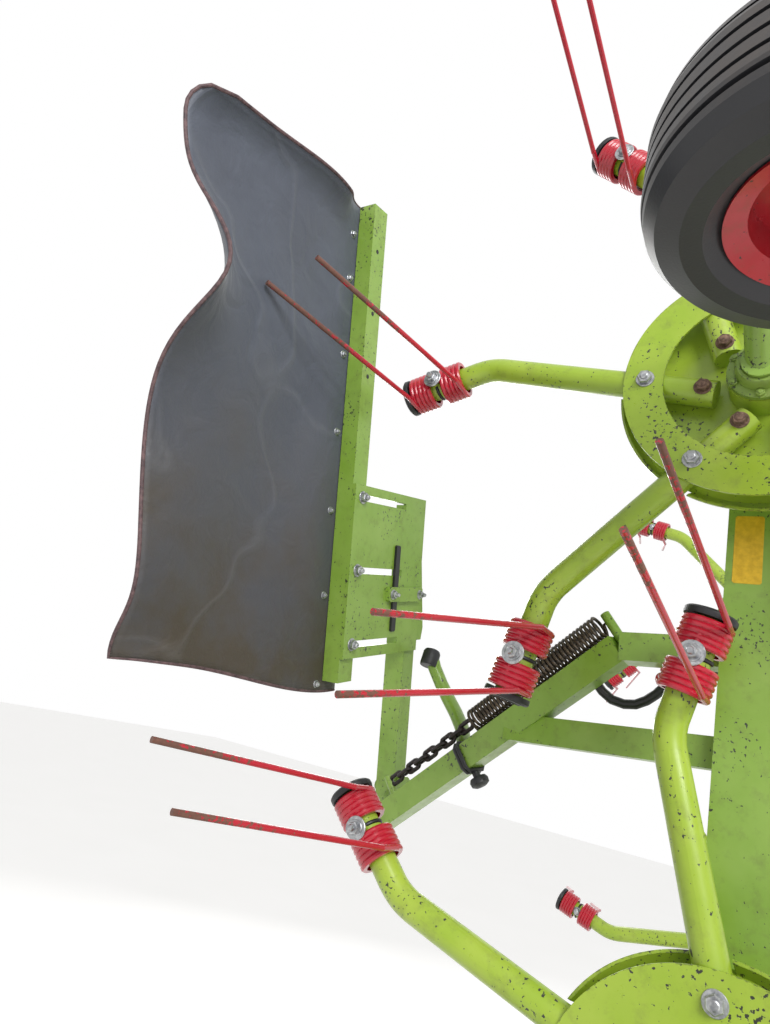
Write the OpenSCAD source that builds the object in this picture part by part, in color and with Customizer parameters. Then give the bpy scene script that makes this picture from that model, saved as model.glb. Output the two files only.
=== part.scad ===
// Mounted hay tedder with six rotors, its wings folded up for the road.
// Right is +X, forward is +Y and up is +Z. The ground is z = 0, and the origin lies on it in the
// middle of the machine. Pieces are drawn with the rotor row on y = 0 and then moved back to it.
// A wing is drawn in its working position and then folded up about its hinge.

/* [Rotors] */
// Distance between the axes of neighbouring rotors
rotor_pitch = 1100; // [1080:5:1140]
// Arms on each rotor
arm_count = 6; // [5:1:7]
// Angle of the first arm on the rotors of one hand
arm_phase = 31; // [28:1:34]
// Angle of the first arm on the rotors of the other hand
other_phase = 56; // [54:1:60]
// Outer radius of the clamping ring under the arms
ring_radius = 222; // [210:1:228]
// Radius of the opening in the clamping ring
ring_opening = 154; // [140:1:162]
// Radius of the dish's outer lip
dish_radius = 233; // [230:1:250]
// Depth of the dish's lip
lip_depth = 15; // [8:1:20]
// Thickness of the pressed sheet of dish and ring
sheet_wall = 4; // [3:0.5:6]
// Outer radius of the rotor's hub
hub_radius = 54; // [48:1:56]
// Height of the hub over the dish
hub_rise = 36; // [30:1:40]

/* [Arms and tines] */
// Radius of an arm's tube
arm_radius = 24; // [20:0.5:26]
// Distance of an arm's outer bolt from the rotor's axis
ring_bolt = 185; // [175:1:195]
// Length of an arm inwards of its outer bolt
arm_inner = 118; // [100:1:120]
// Length of an arm's straight part outwards of its outer bolt
arm_straight = 300; // [285:1:310]
// Angle by which an arm leads its radius
arm_lead = 11.5; // [8:0.5:14]
// Angle of an arm's bend
arm_bend = 30; // [24:1:34]
// Radius of an arm's bend
bend_radius = 106; // [80:1:130]
// Length of the arm beyond its bend
arm_end = 166; // [160:1:176]
// Radius of the tine's wire
wire_radius = 4.9; // [4:0.1:5.5]
// Radius of a tine coil, to the middle of its wire
coil_radius = 35; // [33:0.5:38]
// Turns of a tine coil
coil_turns = 5; // [3:1:6]
// Distance between the two coils of a tine
coil_spacing = 71; // [66:1:78]
// Distance of the outer coil's middle from the arm's end
coil_inset = 38; // [36:1:44]
// Straight length of a tine's leg under its coil
tine_drop = 50; // [40:5:70]
// Length of a tine's leg below its bend
tine_length = 385; // [360:5:400]
// Outward lean of a tine's leg below its bend, as a slope
tine_lean = 0.27; // [0.1:0.01:0.3]
// Sideways lean of a tine's leg below its bend, as a slope
tine_sweep = 0.2; // [0:0.01:0.22]

/* [Frame] */
// Side of the square frame tubes
beam_size = 94; // [80:1:100]
// Wall of the square frame tubes
beam_wall = 6; // [5:0.5:8]
// Height of the beams' axis over the rotors' clamping rings
beam_rise = 160; // [158:1:175]
// Half the width of a rotor's gearbox along the beam
gearbox_half = 100; // [90:1:110]
// Radius of a gearbox's housing
gearbox_radius = 78; // [70:1:85]
// Thickness of the bolted end flanges
flange_wall = 12; // [8:1:16]
// Side of the square end flanges
flange_size = 124; // [116:1:130]
// Thickness of the welded lugs and plates
lug_wall = 15; // [10:1:18]
// Radius of the input shaft
input_radius = 17.4; // [17.4]
// Radius of the spindle that carries a rotor
spindle_radius = 30; // [25:0.5:34]

/* [Wings] */
// Distance of a wing's hinge from the machine's middle
hinge_x = 620; // [610:1:640]
// Height of the hinge over the beams' axis
hinge_rise = 110; // [106:1:125]
// Angle of the folded wing from its working position
fold_angle = 90; // [80:1:92]
// Radius of a wing's hinge pin
hinge_pin = 20; // [16:0.5:22]
// Radius of a hinge eye
hinge_eye = 38; // [34:0.5:40]
// Distance of the lift cylinder's rod end from the hinge, along the wing
rod_reach = 380; // [370:1:400]
// Height of the lift cylinder's rod end over the hinge
rod_rise = 130; // [120:1:140]
// Height of the lift cylinder's foot over the hinge
foot_rise = 45; // [40:1:50]
// Distance of the lift cylinders from the middle of the beam
cylinder_y = 50; // [46:1:60]
// Outer radius of a lift cylinder's barrel
barrel_radius = 30; // [25:0.5:32]
// Radius of a lift cylinder's rod
rod_radius = 15; // [12:0.5:18]
// Length of a lift cylinder's barrel
barrel_length = 500; // [480:5:520]
// Radius of the lift cylinder's pins
cylinder_pin = 12.5; // [10:0.5:15]

/* [Wheels] */
// Outer radius of a tyre
tyre_radius = 203; // [190:1:210]
// Width of a tyre
tyre_width = 160; // [140:1:170]
// Radius of the rim's seat for the tyre
rim_radius = 104; // [98:1:110]
// Depth of the tyre's grooves
groove_depth = 7; // [4:0.5:9]
// Depth of the wheel's axle under the clamping ring
axle_drop = 430; // [420:1:450]
// Distance of a wing's wheels ahead of their rotors' axes
wheel_lead = 98; // [60:1:100]
// Distance of the two middle wheels ahead of their rotors' axes
centre_lead = 20; // [0:1:60]
// Distance of the wheel's middle inwards of the rotor's axis
wheel_inset = 27; // [20:1:30]
// Distance of the cranked leg outwards of the rotor's axis
leg_offset = 92; // [88:1:100]
// Radius of the wheel's axle
axle_radius = 12.5; // [10:0.5:15]
// Radius of the wheel leg's tube
leg_radius = 25; // [22:0.5:28]

/* [Headstock] */
// Distance of the headstock ahead of the rotor row
headstock_y = 900; // [880:5:950]
// Distance of the swivel's axis ahead of the rotor row
swivel_y = 700; // [690:5:720]
// Half the height between the swivel's plates
swivel_half = 68; // [60:1:68]
// Radius of the swivel pins
swivel_pin = 20; // [16:0.5:24]
// Height of the lower link pins
link_z = 560; // [500:5:600]
// Distance between the shoulders of the lower link pins
link_span = 825; // [825]
// Radius of the lower link pins
link_pin = 14.2; // [14.2]
// Length of a lower link pin
link_pin_length = 95; // [90:1:110]
// Height of the top link hole over the lower link pins
mast_height = 610; // [610]
// Radius of the top link hole
top_hole = 12.8; // [12.8]
// Side of the headstock's square tubes
mast_size = 70; // [60:1:80]
// Distance of the parking stand ahead of the headstock
stand_lead = 85; // [80:1:95]
// Distance of the parking stand from the machine's middle, beside the drive shaft
stand_x = 170; // [150:1:185]
// Side of the parking stand's square tube
stand_size = 50; // [40:1:55]
// Side of the parking stand's foot
stand_foot = 170; // [120:5:200]

/* [Curtain] */
// Distance of the curtain behind the rotor row
curtain_y = 780; // [775:1:800]
// Distance of the curtain's pivot from the wing's hinge, along the wing
pivot_u = 1320; // [1300:5:1340]
// Height of the curtain's pivot over the clamping rings
pivot_v = 452; // [440:1:470]
// Angle by which the curtain hangs below the wing
curtain_droop = 16; // [12:0.5:20]
// Side of the curtain's square post
post_size = 50; // [45:1:55]
// Length of the curtain's post beyond its pivot
post_length = 690; // [660:5:700]
// Height of the slotted plate across the post
plate_height = 372; // [340:1:400]
// Reach of the slotted plate below the post
plate_reach = 290; // [270:1:300]
// Length of the channel that clamps the curtain
channel_length = 1045; // [950:5:1100]
// Length of the curtain along its channel
sheet_length = 1040; // [900:5:1095]
// Drop of the curtain from its channel
sheet_drop = 545; // [450:5:560]
// Thickness of the curtain
sheet_thickness = 8; // [6:0.5:10]
// Side of the carrier's square tubes
carrier_size = 50; // [45:1:55]
// Radius of the return spring, to the middle of its wire
spring_radius = 15; // [12:0.5:17]
// Radius of the return spring's wire
spring_wire = 3.4; // [3:0.1:4]
// Length of the return spring
spring_length = 368; // [340:1:380]
// Length of the chain that draws the spring
chain_length = 262; // [240:1:275]
// Distance of the spring from the middle of the carrier's tube
spring_offset = 54; // [50:1:80]

/* [Hidden] */
$fa = 6;
$fs = 2;
SIDES = [["right", 1], ["left", -1]];
PLACES = [["inner", 1], ["middle", 2], ["outer", 3]];
ROTORS = [for (s = SIDES, p = PLACES) [str(s[0], "_", p[0]), s[1], p[1]]];
ROTOR_PARTS = ["disc", "arms", "tines", "tyre", "rim"];
FIXED = ["centre_frame", "centre_gearboxes", "centre_legs", "headstock", "parking_stand"];
WING_PARTS = ["wing_frame", "wing_gearboxes", "wing_legs", "lift_barrel", "lift_rod"];
CURTAIN = ["curtain_carrier", "curtain_spring", "curtain_chain", "curtain_post", "curtain_plate",
    "curtain_channel", "curtain_sheet"];

// Clearances: between seated pieces, in running fits, and beside pieces that swing
seat = 0.2;
running = 0.06;
swing = 2;
// How far pieces of one solid run into each other
overlap = 2;

ring_z = axle_drop + tyre_radius;
beam_z = ring_z + beam_rise;
hinge_z = beam_z + hinge_rise;
arm_z = arm_radius + seat;
dish_z = arm_z + arm_radius + seat;
hub_top = dish_z + sheet_wall + hub_rise;
gearbox_z = hub_top + 5;
spindle_foot = -40;
gearbox_top = beam_rise + flange_size / 2 - 4;
beam_half = beam_size / 2;
shaft_hole = 30;
// Round ends of the plates that hold the lift cylinders' pins, and the barrel's start beyond them
plate_round = 28;
barrel_start = plate_round + 10;
wing_start = hinge_x + hinge_eye + 42;
lug_gap = beam_half + 5;
closed_length = norm([hinge_x - rod_rise, rod_reach - foot_rise]);
closed_tilt = atan2(rod_reach - foot_rise, hinge_x - rod_rise);
foot_z = hinge_z + foot_rise;
// Place of the rotor row: the machine reaches from the curtain's pivot pin to the stand's foot
pin_head = 12;
row_y = (curtain_y + post_size / 2 + pin_head - headstock_y - stand_lead - stand_foot / 2) / 2;
carrier_foot = [hinge_x + pivot_u - 69, -curtain_y + 35, ring_z + pivot_v - 83];
carrier_head = [hinge_x + pivot_u + 354, -210, ring_z + pivot_v - 292];
brace_head = carrier_foot + 0.6 * (carrier_head - carrier_foot);
pivot = [hinge_x + pivot_u, -curtain_y, ring_z + pivot_v];
channel_start = 285;

// The line of the return spring, beside the carrier's long tube
along = (carrier_head - carrier_foot) / norm(carrier_head - carrier_foot);
aside = [-along.y, along.x, 0] / norm([along.x, along.y]);
spring_low = carrier_foot + 345 * along - spring_offset * aside;
spring_high = spring_low + spring_length * along;
chain_foot = spring_low - chain_length * along;
chain_radius = 7;
anchor_radius = 9;
channel_half = 25;
channel_depth = 40;

tine_place = arm_end - coil_inset - coil_spacing / 2;
tine_bridge = coil_radius - 0.8;

function rotor_x(place) = (place - 0.5) * rotor_pitch;
function hand(side, place) = (place % 2 == 1 ? 1 : -1) * side;
function lead(place) = place > 1 ? wheel_lead : centre_lead;
function phase(side, place) = hand(side, place) > 0 ? arm_phase : other_phase;

// A piece of a wing, drawn in its working position on the right, folded up on its side
module folded(side)
    mirror([side < 0 ? 1 : 0, 0, 0])
    translate([hinge_x, row_y, hinge_z])
    rotate([0, -fold_angle, 0])
    translate([-hinge_x, 0, -hinge_z])
        children();

// A piece in the frame of one side: wings fold, the middle stays
module on_side(side, place)
    if (place > 1) folded(side) children();
    else standing() mirror([side < 0 ? 1 : 0, 0, 0]) children();

// A piece in the middle of the machine
module standing()
    translate([0, row_y, 0]) children();

// The frame of one rotor: its axis is z, and its clamping ring lies at z = 0
module at_rotor(side, place)
    on_side(side, place) translate([rotor_x(place), 0, ring_z]) children();

// One of a rotor's arms: the arm's radius points along x
module at_arms(side, place) {
    turn = side < 0 ? 180 - phase(side, place) : phase(side, place);
    flip = hand(side, place) * side;
    for (i = [0 : arm_count - 1])
        rotate([0, 0, turn + i * 360 / arm_count])
        mirror([0, flip < 0 ? 1 : 0, 0])
            children();
}

// A square tube between two points
module bar(from, to, side) {
    d = to - from;
    translate(from)
    rotate([0, acos(d.z / norm(d)), atan2(d.y, d.x)])
    translate([-side / 2, -side / 2, 0])
        cube([side, side, norm(d)]);
}

// A round rod between two points
module rod(from, to, radius) {
    d = to - from;
    translate(from)
    rotate([0, acos(d.z / norm(d)), atan2(d.y, d.x)])
        cylinder(r = radius, h = norm(d));
}

// A flat plate drawn in x and z, standing across y
module upright(y, wall)
    translate([0, y + wall, 0]) rotate([90, 0, 0]) linear_extrude(wall) children();

// Rotor

module rotor_disc(side, place) {
    color("yellowgreen")
    at_rotor(side, place) {
        difference() {
            union() {
                rotate_extrude() polygon([
                    [hub_radius - 6, dish_z], [dish_radius - 18, dish_z],
                    [dish_radius - sheet_wall, dish_z - lip_depth], [dish_radius, dish_z - lip_depth],
                    [dish_radius, dish_z - lip_depth + sheet_wall], [dish_radius - 16, dish_z + sheet_wall],
                    [hub_radius - 6, dish_z + sheet_wall]]);
                cylinder(r = hub_radius, h = hub_top);
            }
            translate([0, 0, -1])
                cylinder(r = spindle_radius + running, h = hub_top + 2);
            // Notches of the arms in the lip
            notch = arm_radius + swing;
            at_arms(side, place)
                translate([ring_bolt, 0, dish_z - lip_depth - 1]) rotate([0, 0, arm_lead])
                translate([dish_radius - ring_bolt - 26, -notch, 0])
                    cube([40, 2 * notch, lip_depth + 2]);
        }
        difference() {
            translate([0, 0, -sheet_wall]) cylinder(r = ring_radius, h = sheet_wall);
            translate([0, 0, -sheet_wall - 1]) cylinder(r = ring_opening, h = sheet_wall + 2);
        }
    }
}

// The start of an arm's bend, with the bend's centre on the -y side
module at_bend()
    translate([ring_bolt, 0, arm_z]) rotate([0, 0, arm_lead]) translate([arm_straight, 0, 0]) children();

// The arm's end beyond its bend, along x
module at_end()
    at_bend() translate([0, -bend_radius, 0]) rotate([0, 0, -arm_bend]) translate([0, bend_radius, 0])
        children();

module arm() {
    at_bend() translate([-arm_straight - arm_inner, 0, 0]) rotate([0, 90, 0])
        cylinder(r = arm_radius, h = arm_inner + arm_straight + overlap);
    // The bend is drawn a little thinner than the straight tube
    at_bend() translate([0, -bend_radius, 0]) rotate([0, 0, 90 - arm_bend])
        rotate_extrude(angle = arm_bend) translate([bend_radius, 0]) circle(r = arm_radius - seat);
    at_end() translate([-overlap, 0, 0]) rotate([0, 90, 0])
        cylinder(r = arm_radius, h = arm_end + overlap);
    // Boss of the bolt that holds the tine between its coils
    at_end() translate([tine_place, 0, -tine_bridge + wire_radius + seat])
        cylinder(r = 11, h = tine_bridge - wire_radius - seat);
}

module rotor_arms(side, place)
    color("yellowgreen") at_rotor(side, place) at_arms(side, place) arm();

// A coil about x, its turns as touching ridges
module coil() {
    pitch = 2 * wire_radius - 0.4;
    half = coil_turns * pitch / 2;
    valley = coil_radius + wire_radius / 2;
    crest = coil_radius + wire_radius;
    rotate([0, 90, 0]) rotate_extrude($fn = 24) polygon(concat(
        [[coil_radius - wire_radius, -half], [valley, -half]],
        [for (i = [0 : coil_turns - 1], p = [[crest, 0.3], [crest, 0.7], [valley, 1]])
            [p[0], -half + (i + p[1]) * pitch]],
        [[coil_radius - wire_radius, half]]));
}

// A double tine: two coils joined by a bridge under the arm, and two legs
module double_tine() {
    outer = (coil_turns - 1) * wire_radius;
    slope = [tine_lean, tine_sweep, -1];
    leg = slope / norm(slope);
    $fn = 14;
    for (s = [-1, 1]) {
        translate([s * coil_spacing / 2, 0, 0]) coil();
        translate([s * (coil_spacing / 2 + outer), -tine_bridge, 0]) {
            rod([0, 0, 0], [0, 0, -tine_drop], wire_radius);
            translate([0, 0, -tine_drop]) sphere(r = wire_radius + seat);
            rod([0, 0, -tine_drop], [0, 0, -tine_drop] + tine_length * leg, wire_radius);
        }
    }
    translate([-coil_spacing / 2, 0, -tine_bridge])
    rotate([0, 90, 0])
        cylinder(r = wire_radius, h = coil_spacing);
}

module rotor_tines(side, place)
    color("firebrick") at_rotor(side, place) at_arms(side, place)
        at_end() translate([tine_place, 0, 0]) double_tine();

// Wheel: the wheel's axle lies along x

module at_wheel(side, place)
    at_rotor(side, place) translate([-wheel_inset, lead(place), -axle_drop]) children();

module tyre_profile() {
    half = tyre_width / 2;
    difference() {
        polygon([
            [rim_radius + seat, -half + 24], [rim_radius + 12, -half + 20], [rim_radius + 30, -half + 3],
            [tyre_radius - 45, -half], [tyre_radius - 18, -half + 8], [tyre_radius - 5, -half + 24],
            [tyre_radius, -half + 44], [tyre_radius, half - 44], [tyre_radius - 5, half - 24],
            [tyre_radius - 18, half - 8], [tyre_radius - 45, half], [rim_radius + 30, half - 3],
            [rim_radius + 12, half - 20], [rim_radius + seat, half - 24]]);
        for (y = [-44, -22, 0, 22, 44])
            translate([tyre_radius - groove_depth, y - 3]) square([groove_depth + 5, 6]);
    }
}

module rotor_tyre(side, place)
    color("dimgray") at_wheel(side, place) rotate([0, 90, 0]) rotate_extrude() tyre_profile();

module rotor_rim(side, place) {
    half = tyre_width / 2;
    color("crimson") at_wheel(side, place) rotate([0, 90, 0]) difference() {
        rotate_extrude() polygon([
            [axle_radius - 2, -half + 8], [30, -half + 8], [30, -14], [rim_radius - 16, -14],
            [rim_radius - 14, -half + 26], [rim_radius + 11, -half + 14], [rim_radius + 11, -half + 18],
            [rim_radius, -half + 22], [rim_radius, half - 22],
            [rim_radius + 11, half - 18], [rim_radius + 11, half - 14], [rim_radius - 14, half - 26],
            [rim_radius - 16, -6], [30, -6], [30, half - 8], [axle_radius - 2, half - 8]]);
        translate([0, 0, -half]) cylinder(r = axle_radius + running, h = tyre_width);
    }
}

// Gearboxes and wheel legs

module rotor_gearbox() {
    translate([0, 0, gearbox_z]) cylinder(r = gearbox_radius, h = gearbox_top - gearbox_z);
    translate([-gearbox_half, -beam_half, gearbox_z + 4])
        cube([2 * gearbox_half, beam_size, gearbox_top - gearbox_z - 12]);
    for (s = [-1, 1])
        translate([s * (gearbox_half - flange_wall / 2), 0, beam_rise])
            cube([flange_wall, flange_size, flange_size], center = true);
}

module main_gearbox() {
    neck = 48;
    box = 150;
    translate([0, beam_half, beam_z]) rotate([-90, 0, 0]) cylinder(r = 40, h = neck + 1);
    translate([-box / 2, beam_half + neck, beam_z - box / 2]) cube(box);
    translate([0, beam_half + neck + box - 1, beam_z]) rotate([-90, 0, 0]) cylinder(r = 45, h = 31);
    translate([0, beam_half + neck + box + 29, beam_z]) rotate([-90, 0, 0])
        cylinder(r = input_radius, h = 76);
}

// The leg runs down from the gearbox through the rotor's hub and is cranked beside the tyre
module wheel_leg(place) {
    elbow = [leg_offset, 0, -axle_drop + tyre_radius + 80];
    axle_end = -wheel_inset - tyre_width / 2 + 4;
    boss = leg_radius + 4;
    translate([0, 0, spindle_foot]) cylinder(r = spindle_radius, h = gearbox_z - spindle_foot);
    rod([0, 0, spindle_foot + 20], elbow, leg_radius);
    translate(elbow) sphere(r = leg_radius + seat);
    rod(elbow, [leg_offset, lead(place), -axle_drop], leg_radius);
    translate([axle_end, lead(place), -axle_drop]) rotate([0, 90, 0])
        cylinder(r = axle_radius, h = leg_offset - axle_end);
    translate([leg_offset - boss - 2, lead(place), -axle_drop]) rotate([0, 90, 0])
        cylinder(r = boss, h = 2 * boss + 4);
}

module centre_gearboxes()
    color("olivedrab") {
        for (s = [-1, 1]) at_rotor(s, 1) rotor_gearbox();
        standing() main_gearbox();
    }

module centre_legs()
    color("yellowgreen") for (s = [-1, 1]) at_rotor(s, 1) wheel_leg(1);

module wing_gearboxes(side)
    color("olivedrab") for (place = [2, 3]) at_rotor(side, place) rotor_gearbox();

module wing_legs(side)
    color("yellowgreen") for (place = [2, 3]) at_rotor(side, place) wheel_leg(place);

// Frames

// A square tube along x, through which the drive shaft runs
module beam(from, to) {
    bore = beam_size - 2 * beam_wall;
    difference() {
        translate([from, -beam_half, beam_z - beam_half]) cube([to - from, beam_size, beam_size]);
        translate([from - 1, -bore / 2, beam_z - bore / 2]) cube([to - from + 2, bore, bore]);
    }
}

// The end flange of a beam, with the drive shaft's hole
module flange(x)
    translate([x, 0, beam_z]) difference() {
        translate([0, -flange_size / 2, -flange_size / 2]) cube([flange_wall, flange_size, flange_size]);
        translate([-1, 0, 0]) rotate([0, 90, 0]) cylinder(r = shaft_hole, h = flange_wall + 2);
    }

// Outline of the fixed hinge plates, outside the inner gearbox
module fixed_hinge_outline() {
    start = rotor_x(1) + gearbox_half;
    difference() {
        union() {
            polygon([
                [start, beam_z - flange_size / 2], [start + 26, beam_z - flange_size / 2],
                [start + 26, hinge_z - 20], [hinge_x + hinge_eye, hinge_z],
                [hinge_x - hinge_eye, hinge_z], [start, beam_z + flange_size / 2]]);
            translate([hinge_x, hinge_z]) circle(r = hinge_eye);
        }
        translate([hinge_x, hinge_z]) circle(r = hinge_pin);
    }
}

module centre_frame()
    color("yellowgreen") standing() {
        inner = rotor_x(1) - gearbox_half;
        difference() {
            union() {
                beam(-inner, inner);
                flange(-inner);
                flange(inner - flange_wall);
                // Tongue to the swivel
                for (s = [-1, 1])
                    bar([s * 130, beam_half - 10, beam_z], [s * 105, swivel_y - 40, beam_z], 60);
                for (z = [-swivel_half, swivel_half - lug_wall])
                    translate([-140, swivel_y - 75, beam_z + z]) cube([280, 120, lug_wall]);
                for (s = [-1, 1])
                    translate([s * 132 - 8, swivel_y - 75, beam_z - swivel_half])
                        cube([16, 120, 2 * swivel_half]);
                // Post that carries the feet of the lift cylinders
                translate([-40, -cylinder_y - 42, beam_z + beam_half - 3])
                    cube([80, 2 * cylinder_y + 84, 11]);
                for (y = [-cylinder_y - 34, -7, cylinder_y + 20])
                    upright(y, 14) hull() {
                        translate([0, foot_z]) circle(r = plate_round, $fn = 32);
                        translate([-32, beam_z + beam_half]) square([64, 4]);
                    }
            }
            translate([0, -cylinder_y - 60, foot_z]) rotate([-90, 0, 0])
                cylinder(r = cylinder_pin, h = 2 * cylinder_y + 120);
            translate([0, swivel_y, beam_z - swivel_half - 1])
                cylinder(r = swivel_pin, h = 2 * swivel_half + 2);
        }
        translate([0, -cylinder_y - 38, foot_z]) rotate([-90, 0, 0])
            cylinder(r = cylinder_pin, h = 2 * cylinder_y + 76);
        for (s = [-1, 1])
            translate([0, swivel_y, beam_z + s * (swivel_half + lug_wall + 4)])
                cylinder(r = swivel_pin, h = 2 * lug_wall + 26, center = true);
        for (s = [-1, 1]) mirror([s < 0 ? 1 : 0, 0, 0]) {
            flange(rotor_x(1) + gearbox_half);
            for (y = [-lug_gap - lug_wall, lug_gap])
                upright(y, lug_wall) fixed_hinge_outline();
            translate([hinge_x, -lug_gap - lug_wall - 5, hinge_z]) rotate([-90, 0, 0])
                cylinder(r = hinge_pin, h = 2 * (lug_gap + lug_wall + 5));
        }
    }

// Outline of the wing's own hinge lug
module wing_hinge_outline() {
    top = hinge_z + 32;
    difference() {
        union() {
            polygon([
                [hinge_x, top], [wing_start, top], [wing_start + 40, hinge_z - 30],
                [wing_start + 40, beam_z - beam_half], [wing_start - 8, beam_z - beam_half],
                [wing_start - 8, hinge_z - hinge_eye], [hinge_x, hinge_z - hinge_eye]]);
            translate([hinge_x, hinge_z]) circle(r = hinge_eye);
        }
        translate([hinge_x, hinge_z]) circle(r = hinge_pin + running);
    }
}

// Outline of one of the plates that take a lift cylinder's rod end
module rod_plate_outline() {
    x = hinge_x + rod_reach;
    z = hinge_z + rod_rise;
    difference() {
        hull() {
            translate([x, z]) circle(r = plate_round, $fn = 32);
            translate([x - 70, beam_z + beam_half]) square([140, 8]);
        }
        translate([x, z]) circle(r = cylinder_pin);
    }
}

module wing_frame(side)
    color("yellowgreen") folded(side) {
        first = rotor_x(2) - gearbox_half;
        second = rotor_x(2) + gearbox_half;
        last = rotor_x(3) - gearbox_half;
        beam(wing_start, first);
        flange(first - flange_wall);
        upright(-beam_half, beam_size) wing_hinge_outline();
        translate([hinge_x + rod_reach - 80, side * cylinder_y - 40, beam_z + beam_half - 2])
            cube([160, 80, 10]);
        for (y = [side * cylinder_y - 32, side * cylinder_y + 18])
            upright(y, 14) rod_plate_outline();
        beam(second, last);
        flange(second);
        flange(last - flange_wall);
    }

// Lift cylinders: drawn in the folded position, each on its own side of the beam's middle

module at_cylinder(side)
    mirror([side < 0 ? 1 : 0, 0, 0])
    translate([0, row_y + side * cylinder_y, foot_z])
    rotate([0, -closed_tilt, 0])
        children();

module lift_barrel(side)
    color("black") at_cylinder(side) difference() {
        union() {
            rotate([90, 0, 0]) cylinder(r = 24, h = 32, center = true);
            translate([15, 0, 0]) rotate([0, 90, 0]) cylinder(r = rod_radius, h = barrel_start);
            translate([barrel_start, 0, 0]) rotate([0, 90, 0])
                cylinder(r = barrel_radius, h = barrel_length - barrel_start);
        }
        rotate([90, 0, 0]) cylinder(r = cylinder_pin + running, h = 70, center = true);
        translate([barrel_start + 22, 0, 0]) rotate([0, 90, 0])
            cylinder(r = rod_radius + running, h = barrel_length);
    }

module lift_rod(side)
    color("silver") at_cylinder(side) difference() {
        union() {
            translate([barrel_start + 32, 0, 0]) rotate([0, 90, 0])
                cylinder(r = rod_radius, h = closed_length - barrel_start - 42);
            translate([closed_length, 0, 0]) rotate([90, 0, 0]) cylinder(r = 25, h = 32, center = true);
        }
        translate([closed_length, 0, 0]) rotate([90, 0, 0])
            cylinder(r = cylinder_pin, h = 40, center = true);
    }

// Headstock and parking stand

module headstock()
    color("yellowgreen") standing() {
        shoulder = link_span / 2;
        top = link_z + mast_height;
        half = mast_size / 2;
        stand_y = headstock_y + stand_lead;
        yoke = swivel_half + lug_wall + swing;
        sleeve = stand_size + 16;
        difference() {
            union() {
                translate([-shoulder, headstock_y - half, link_z - half]) cube([link_span, mast_size, mast_size]);
                for (s = [-1, 1])
                    bar([s * 250, headstock_y, link_z], [s * 62, headstock_y, top - half], mast_size - 10);
                for (x = [-42, 27])
                    translate([x, headstock_y - 40, top - 90]) cube([lug_wall, 90, 130]);
                translate([-62, headstock_y - 26, top - 100]) cube([124, 52, 20]);
                // Yoke to the swivel
                for (z = [-yoke, yoke - lug_wall])
                    translate([0, 0, beam_z + z]) linear_extrude(lug_wall) polygon([
                        [-70, swivel_y - 45], [70, swivel_y - 45], [220, headstock_y + half - 10],
                        [-220, headstock_y + half - 10]]);
                // Sleeve of the parking stand
                translate([stand_x - sleeve / 2, stand_y - sleeve / 2, link_z - 60])
                    cube([sleeve, sleeve, 200]);
                translate([stand_x - 30, headstock_y + half - 5, link_z - half + 5])
                    cube([60, stand_lead - half, mast_size - 10]);
            }
            translate([0, swivel_y, beam_z - 200]) cylinder(r = swivel_pin + running, h = 400);
            translate([-80, headstock_y, top]) rotate([0, 90, 0]) cylinder(r = top_hole, h = 160);
            translate([stand_x - stand_size / 2 - seat, stand_y - stand_size / 2 - seat, link_z - 100])
                cube([stand_size + 2 * seat, stand_size + 2 * seat, 400]);
        }
        for (s = [-1, 1])
            translate([s * shoulder, headstock_y, link_z]) rotate([0, s * 90, 0])
                cylinder(r = link_pin, h = link_pin_length);
    }

module parking_stand()
    color("silver") standing() {
        stand_y = headstock_y + stand_lead;
        translate([stand_x - stand_size / 2, stand_y - stand_size / 2, 8])
            cube([stand_size, stand_size, link_z + 160]);
        translate([stand_x - stand_foot / 2, stand_y - stand_foot / 2, 0])
            cube([stand_foot, stand_foot, 10]);
    }

// Curtain and its carrier, on the right wing

module curtain_carrier()
    color("yellowgreen") folded(1) {
        foot_y = pivot.y + post_size / 2 + swing;
        bar(carrier_foot, carrier_head, carrier_size);
        // Its two arms end flat on the wing's beam
        difference() {
            for (arm = [[brace_head, 20], [carrier_head, 12]])
                bar(arm[0], [arm[0].x + arm[1], -beam_half + 16, beam_z], carrier_size);
            translate([rotor_x(2), -beam_half, beam_z - beam_size])
                cube([rotor_pitch, beam_size, 2 * beam_size]);
        }
        // Pins that hold the ends of the spring and of its chain
        for (at = [spring_high + (anchor_radius + seat) * along, chain_foot - (anchor_radius + seat) * along])
            rod(at + spring_offset * aside, at - 16 * aside, anchor_radius);
        // Plate with the pivot pin
        upright(foot_y, 12) hull() {
            translate([pivot.x, pivot.z]) circle(r = 34, $fn = 32);
            translate([carrier_foot.x, carrier_foot.z]) circle(r = 40, $fn = 32);
        }
        translate([pivot.x, pivot.y - post_size / 2 - pin_head, pivot.z]) rotate([-90, 0, 0])
            cylinder(r = cylinder_pin, h = post_size + 2 * pin_head);
    }

module curtain_spring()
    color("gray") folded(1) rod(spring_low, spring_high, spring_radius + spring_wire);

module curtain_chain()
    color("dimgray") folded(1) rod(chain_foot, spring_low - along * seat, chain_radius);

// The curtain's frame: x runs along its post from the pivot, and it hangs down
module at_curtain()
    folded(1) translate(pivot) rotate([0, curtain_droop, 0]) children();

module curtain_post()
    color("yellowgreen") at_curtain() difference() {
        translate([-40, -post_size / 2, -post_size / 2]) cube([post_length + 40, post_size, post_size]);
        rotate([90, 0, 0]) cylinder(r = cylinder_pin + running, h = 80, center = true);
    }

module curtain_plate()
    color("yellowgreen") at_curtain() difference() {
        plate_start = 335;
        slot = 14;
        translate([plate_start, post_size / 2, -plate_reach]) cube([plate_height, 8, plate_reach + 20]);
        for (i = [0 : 2])
            translate([plate_start + 23 + i * (plate_height - 57) / 2, post_size / 2 - 1, 15 - plate_reach])
                cube([slot, 10, plate_reach - 90]);
    }

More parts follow.
